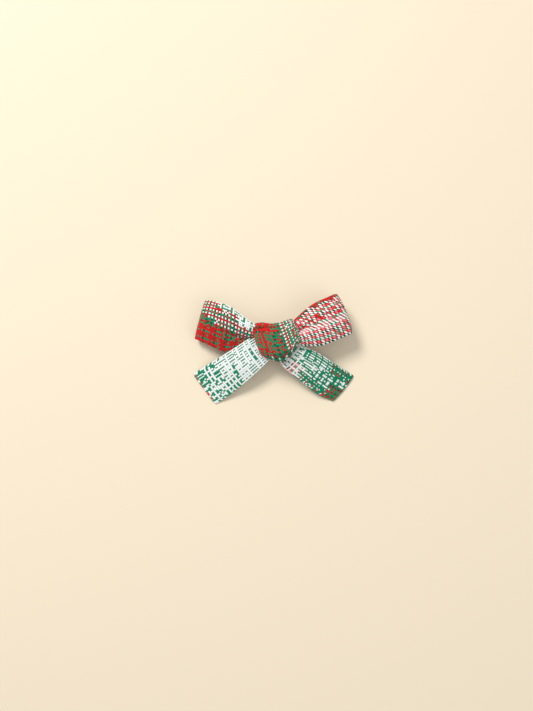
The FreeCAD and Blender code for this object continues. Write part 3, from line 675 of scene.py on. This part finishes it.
def lay_span(cloth, node, net, dyes, yarn, flat, held, **form):
    """One span of the strip; flat is what it was cut to before tying, (width, length) in metres, and is not
    used.
    """
    piece = strip(f"{node}_cloth", net, dyes, yarn, **form)
    piece.data.materials.append(cloth)
    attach(piece, "bow")
    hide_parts(node)


def make_cloth(cloth):
    """The strip, 23 mm wide when pressed flat, as its five spans; the strap is spread a little wider."""
    left_folds = pleats(0.5, 3, 0.22, both_ends=True, tucks=[(0.66, 0.56, 0.40, 2.4, 0.06)])
    right_folds = pleats(0.55, 3, 0.2, 0.3, both_ends=True, tucks=[(0.48, 0.44, 0.22, 1.0, 0.06)])
    lay_span(cloth, "left_loop", LEFT_LOOP, LEFT_LOOP_DYES, (1.1, 1.0), (0.023, 0.086), "folded",
             shape=soften(left_folds, 0.35, 3))
    lay_span(cloth, "right_loop", RIGHT_LOOP, RIGHT_LOOP_DYES, (1.15, 1.6), (0.023, 0.084), "folded",
             shape=soften(right_folds, 0.35, 5), skew=-1.3)
    lay_span(cloth, "left_tail", LEFT_TAIL, LEFT_TAIL_DYES, (1.45, 0.92), (0.023, 0.055), "laid",
             shape=soften(pleats(0.35, 2, 0.35, 0.1), 0.15, 7), corner=2.0)
    lay_span(cloth, "right_tail", RIGHT_TAIL, RIGHT_TAIL_DYES, (1.15, 0.85), (0.023, 0.056), "laid",
             shape=soften(pleats(0.5, 3, 0.45, 0.45), 0.15, 9), corner=2.8)
    lay_span(cloth, "knot_strap", knot_ring(), KNOT_DYES, (1.1, 0.86), (0.027, 0.066), "folded",
             shape=knot_creases, closed=True)


def make_core(cloth):
    """The gathered layers inside the strap: a pleated plug that shows only in the knot's two mouths.

    Its two ends are painted shade: plain dark green, where the mouths' shade falls.
    """
    yarns_around, yarns_across = 48, 22
    ring = np.array(knot_ring())
    heart = ring.mean(axis=0, keepdims=True)
    inner = heart + (ring - heart) * 0.86
    rows, columns = 96, 48                                        # of faces
    t = np.linspace(0, 1, columns + 1)
    grid = np.swapaxes(through(np.swapaxes(inner, 0, 1), t), 0, 1)
    grid = through(grid, np.linspace(0, 1, rows + 1), True)[:-1]
    middle = through(heart[0], t)
    closing = np.minimum(np.minimum(t, 1 - t) / 0.06, 1) ** 0.5   # to a point at each end
    nine_pleats = 1 + 0.05 * np.sin(np.arange(rows) / rows * 2 * np.pi * 9)[:, None]
    grid = middle[None] + (grid - middle[None]) * (closing[None] * nine_pleats)[..., None]
    number = np.arange(rows * (columns + 1)).reshape(rows, columns + 1)
    number = np.concatenate([number, number[:1]])
    place_s = np.linspace(0, 1, rows + 1)[:, None] + 0 * t
    place_t = t + 0 * place_s
    outwards = [0, 3, 2, 1]                                       # turns the faces to look outwards
    faces, s4, t4 = (corners(values)[..., outwards] for values in (number, place_s, place_t))
    piece = quad_mesh("knot_core_cloth", grid.reshape(-1, 3) + KNOT, faces.reshape(-1, 4))
    add_uv(piece.data, "Weave", np.stack([s4 * yarns_around, t4 * yarns_across], -1).reshape(-1, 2))
    bake_uv = BAKE_RIM + (1 - 2 * BAKE_RIM) * np.stack([s4, t4], -1)
    add_uv(piece.data, "OFBake", bake_uv.reshape(-1, 2))
    cell_s = np.floor(s4.mean(-1).ravel() * yarns_around).astype(int)
    cell_t = np.floor(t4.mean(-1).ravel() * yarns_across).astype(int)
    zones = [
        # painted shade: both ends are plain dark green, standing in for the shaded folds in the knot's
        # mouths
        (0.0, 0.11, 0.0, 1.0, "D", "D"),
        (0.89, 1.0, 0.0, 1.0, "D", "D"),
        (0.0, 0.5, 0.0, 1.0, "RGGD", "GRD"),
        (0.0, 1.0, 0.0, 1.0, "RGW", "RGD"),
    ]
    lengthwise, crosswise = dye_faces(zones, cell_s, cell_t, yarns_around, yarns_across, 0.0)
    add_colour(piece.data, "long_yarn", np.repeat(lengthwise, 4, axis=0))
    add_colour(piece.data, "cross_yarn", np.repeat(crosswise, 4, axis=0))
    piece.data.materials.append(cloth)
    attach(piece, "bow")
    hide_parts("knot_core")


# Clip -----------------------------------------------------------------------------------------------

def node_box(node):
    """A CAD node's lowest and highest corners, in millimetres."""
    return [np.array(corner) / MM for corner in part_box(node)]


def make_lining():
    """Ribbon over the blade: along the top, round the tip, and back inside the jaws."""
    low, high = node_box("clip_lining")
    ribbon, rib_spacing, rib_height, yarns = 0.36, 0.62, 0.035, 12
    mid_y, half = (low[1] + high[1]) / 2, (high[1] - low[1]) / 2
    top, under = high[2] - ribbon / 2, low[2] + ribbon / 2
    tip = low[0] + ribbon / 2
    centre = (top + under) / 2
    inner_end = tip + 15.0
    route = [(high[0], top), (high[0] - 1.0, top + 0.01), (0.0, top), (tip + 1.2, top),
             (tip + 0.35, top - 0.06), (tip, centre), (tip + 0.35, under + 0.06), (tip + 1.2, under),
             (inner_end - 1, under), (inner_end, under)]
    net = [[(x, mid_y - half + 2 * half * share, z) for share in (0, 0.33, 0.67, 1)] for x, z in route]
    net = np.array(net) - KNOT
    steps, length = evenly(net[:, 1], 360)
    across = np.linspace(0, 1, 33)
    grid = through(np.swapaxes(through(np.swapaxes(net, 0, 1), across), 0, 1), steps)
    normal = normals_of(grid, False)
    ribs = length / rib_spacing
    s_yarn = np.linspace(0, ribs, len(steps))[:, None] + 0 * across[None]
    t_yarn = across[None] * yarns + 0 * s_yarn
    edge = np.minimum(across, 1 - across)[None] * 2 * half
    ends = np.minimum(np.linspace(0, 1, len(steps)), np.linspace(1, 0, len(steps)))[:, None] * length
    rim = np.clip(np.minimum(edge, ends) / (ribbon / 2), 0, 1)
    half_thick = 0.8 * ribbon / 2 * half_round(rim)               # the ribs fill the rest
    rib = rib_height * np.abs(np.sin(np.pi * s_yarn)) * rim
    offset = normal * (half_thick + rib)[..., None]
    plain = [(0, 1, 0, 1, "W", "W")]
    piece = sew("lining_ribbon", grid + offset, grid - offset, s_yarn, t_yarn, plain,
                yarns, int(ribs), False, 0.0)
    piece.data.materials.append(grosgrain())
    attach(piece, "bow")
    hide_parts("clip_lining")


def make_glue():
    """A squeezed-out blob of glue: bulging sides, rounded rim, pressed flat under the knot."""
    low, high = node_box("glue_pad")
    middle, half = (low + high) / 2, (high - low) / 2
    rows, columns = 18, 96
    squareness, clear_below, clear_above = 0.6, 0.02, 0.3
    angles = np.linspace(0, 2 * np.pi, columns, endpoint=False)
    foot = middle * (1, 1, 0) + (0, 0, low[2] + clear_below)
    points = [foot]
    for share in np.linspace(0, 1, rows):
        bulge = 0.86 + 0.14 * math.sin(math.pi * min(share * 1.1, 1)) - 0.10 * share
        for angle in angles:
            c, s = math.cos(angle), math.sin(angle)
            lumps = 1 + 0.03 * math.sin(3 * angle + 1) + 0.025 * math.sin(5 * angle + 4 * share)
            x = math.copysign(abs(c) ** squareness, c) * half[0] * bulge * lumps
            y = math.copysign(abs(s) ** squareness, s) * half[1] * bulge * lumps
            sag = 0.25 * math.sin(7 * angle + 2) * share
            points.append(foot + (x, y, (2 * half[2] - clear_above) * share + sag))
    points.append(middle * (1, 1, 0) + (0, 0, high[2] - clear_above))
    mesh = bpy.data.meshes.new("glue_blob")

    def ring(row, column):
        return 1 + row * columns + column % columns

    faces = [(0, ring(0, c + 1), ring(0, c)) for c in range(columns)]
    faces += [(ring(r, c), ring(r, c + 1), ring(r + 1, c + 1), ring(r + 1, c))
              for r in range(rows - 1) for c in range(columns)]
    faces += [(len(points) - 1, ring(rows - 1, c), ring(rows - 1, c + 1)) for c in range(columns)]
    mesh.from_pydata([tuple(np.array(point) * MM) for point in points], [], faces)
    mesh.polygons.foreach_set("use_smooth", [True] * len(mesh.polygons))
    piece = bpy.data.objects.new("glue_blob", mesh)
    bpy.context.scene.collection.objects.link(piece)
    mesh.materials.append(hot_glue())
    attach(piece, "bow")
    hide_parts("glue_pad")


def tube(name, route, radius):
    """A closed round wire along a list of points, in millimetres."""
    around = 14
    route = np.asarray(route, float)
    ahead = np.gradient(route, axis=0)
    ahead /= np.linalg.norm(ahead, axis=1, keepdims=True)
    side = np.cross(ahead, (0.0, 1.0, 0.0))
    side /= np.linalg.norm(side, axis=1, keepdims=True)
    up = np.cross(side, ahead)
    angles = np.linspace(0, 2 * np.pi, around, endpoint=False)
    rings = (route[:, None] + radius * (np.cos(angles)[None, :, None] * side[:, None]
                                        + np.sin(angles)[None, :, None] * up[:, None]))
    count = len(route)
    number = np.arange(count * around).reshape(count, around)
    beside = np.roll(number, -1, axis=1)
    faces = [tuple(face) for face in np.stack(
        [number[:-1], beside[:-1], beside[1:], number[1:]], axis=-1).reshape(-1, 4)]
    faces += [tuple(number[0][::-1]), tuple(number[-1])]
    mesh = bpy.data.meshes.new(name)
    mesh.from_pydata((rings.reshape(-1, 3) * MM).tolist(), [], [tuple(int(v) for v in f) for f in faces])
    mesh.polygons.foreach_set("use_smooth", [len(face) == 4 for face in faces])
    piece = bpy.data.objects.new(name, mesh)
    bpy.context.scene.collection.objects.link(piece)
    return piece


def make_spring(steel):
    """Wound wire round the pin; its turns run from the upper leg to the lower."""
    low, high = node_box("clip_spring")
    joint = frame["joints"][0]
    pivot = np.array(joint["pos_m"]) / MM
    wire, coil, turns = 0.3, 1.5, 4.5                             # wire's radius, coil's radius
    upper_y, lower_y = high[1] - wire, low[1] + wire
    angles = np.linspace(math.pi / 2, math.pi / 2 + 2 * math.pi * turns, 220)
    levels = np.linspace(upper_y, lower_y, len(angles))
    helix = [(pivot[0] + coil * math.cos(angle), level, pivot[2] + coil * math.sin(angle))
             for angle, level in zip(angles, levels)]
    reach = np.linspace(8.5, 0.4, 16)                             # along a leg, from its end

    def leg(slope, y, start_z):
        return [(pivot[0] + r * math.cos(slope), y, start_z + r * math.sin(slope)) for r in reach]

    upper = leg(math.radians(3.2), upper_y, pivot[2] + coil)
    lower = leg(math.radians(-14.5), lower_y, pivot[2] - coil)[::-1]
    piece = tube("spring_wire", upper + helix + lower, wire)
    piece.data.materials.append(steel)
    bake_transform(piece)
    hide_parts("clip_spring")


def finish_clip():
    """Plated steel on the clip's CAD pieces, and the wound spring."""
    plate = nickel("nickel_plate", srgb(214, 213, 210), 0.30)
    for node in ("clip_top_blade", "clip_bottom_jaw", "clip_pivot_pin"):
        thing = frame["nodes"][node]
        thing.data.materials.clear()
        thing.data.materials.append(plate)
    make_spring(nickel("spring_steel_wire", srgb(188, 188, 190), 0.24))


# Stage ----------------------------------------------------------------------------------------------

def make_floor():
    """A pale matt floor that reaches past every view."""
    bpy.ops.mesh.primitive_plane_add(size=6, location=(0, 0, 0))
    floor = bpy.context.object
    floor.name = "floor"
    n = Nodes("pale_floor")
    floor.data.materials.append(n.set(Base_Color=srgb(236, 222, 198), Roughness=0.9,
                                      Specular_IOR_Level=0.1))


def area_light(name, place, size, power, tint=(1, 1, 1)):
    """A round lamp that faces the origin."""
    data = bpy.data.lights.new(name, "AREA")
    data.shape = "DISK"
    data.size = size
    data.energy = power
    data.color = tint
    light = bpy.data.objects.new(name, data)
    light.location = place
    light.rotation_euler = (-Vector(place)).to_track_quat("-Z", "Y").to_euler()
    bpy.context.scene.collection.objects.link(light)


def make_lights():
    """Soft studio light: a large key from the upper left, weak fill, and a pale surround."""
    area_light("key", (-0.55, 0.75, 1.05), 0.5, 15.0, (1.0, 0.99, 0.97))
    area_light("fill", (0.9, -0.5, 1.0), 1.2, 3.0)
    area_light("top", (0.0, 0.0, 1.5), 1.4, 2.5)
    world = bpy.data.worlds.new("studio")
    bpy.context.scene.world = world
    world.use_nodes = True
    world.node_tree.nodes["Background"].inputs[0].default_value = (1.0, 1.0, 1.0, 1.0)
    world.node_tree.nodes["Background"].inputs[1].default_value = 0.42
    bpy.context.scene.view_settings.view_transform = "Standard"


def make_camera():
    """Straight down on the flat-laid bow, with a wide margin of the surface round it."""
    frame_height = 0.434               # what the frame's long side takes in, halfway up the bow
    distance = 0.45
    across, up = -0.0042, -0.0037      # from the bow's middle to the frame's
    data = bpy.data.cameras.new("camera")
    data.sensor_width = 36.0
    data.lens = data.sensor_width * distance / frame_height
    data.clip_start = 0.01
    camera = bpy.data.objects.new("camera", data)
    bow_low, bow_high = (np.array(corner) for corner in CAD_BOX)
    middle = (bow_low + bow_high) / 2
    camera.location = (middle[0] + across, middle[1] + up, distance + 0.01)
    bpy.context.scene.collection.objects.link(camera)
    bpy.context.scene.camera = camera


plaid = plaid_cloth()
make_cloth(plaid)
make_core(plaid)
make_lining()
make_glue()
finish_clip()
make_floor()
make_lights()
make_camera()
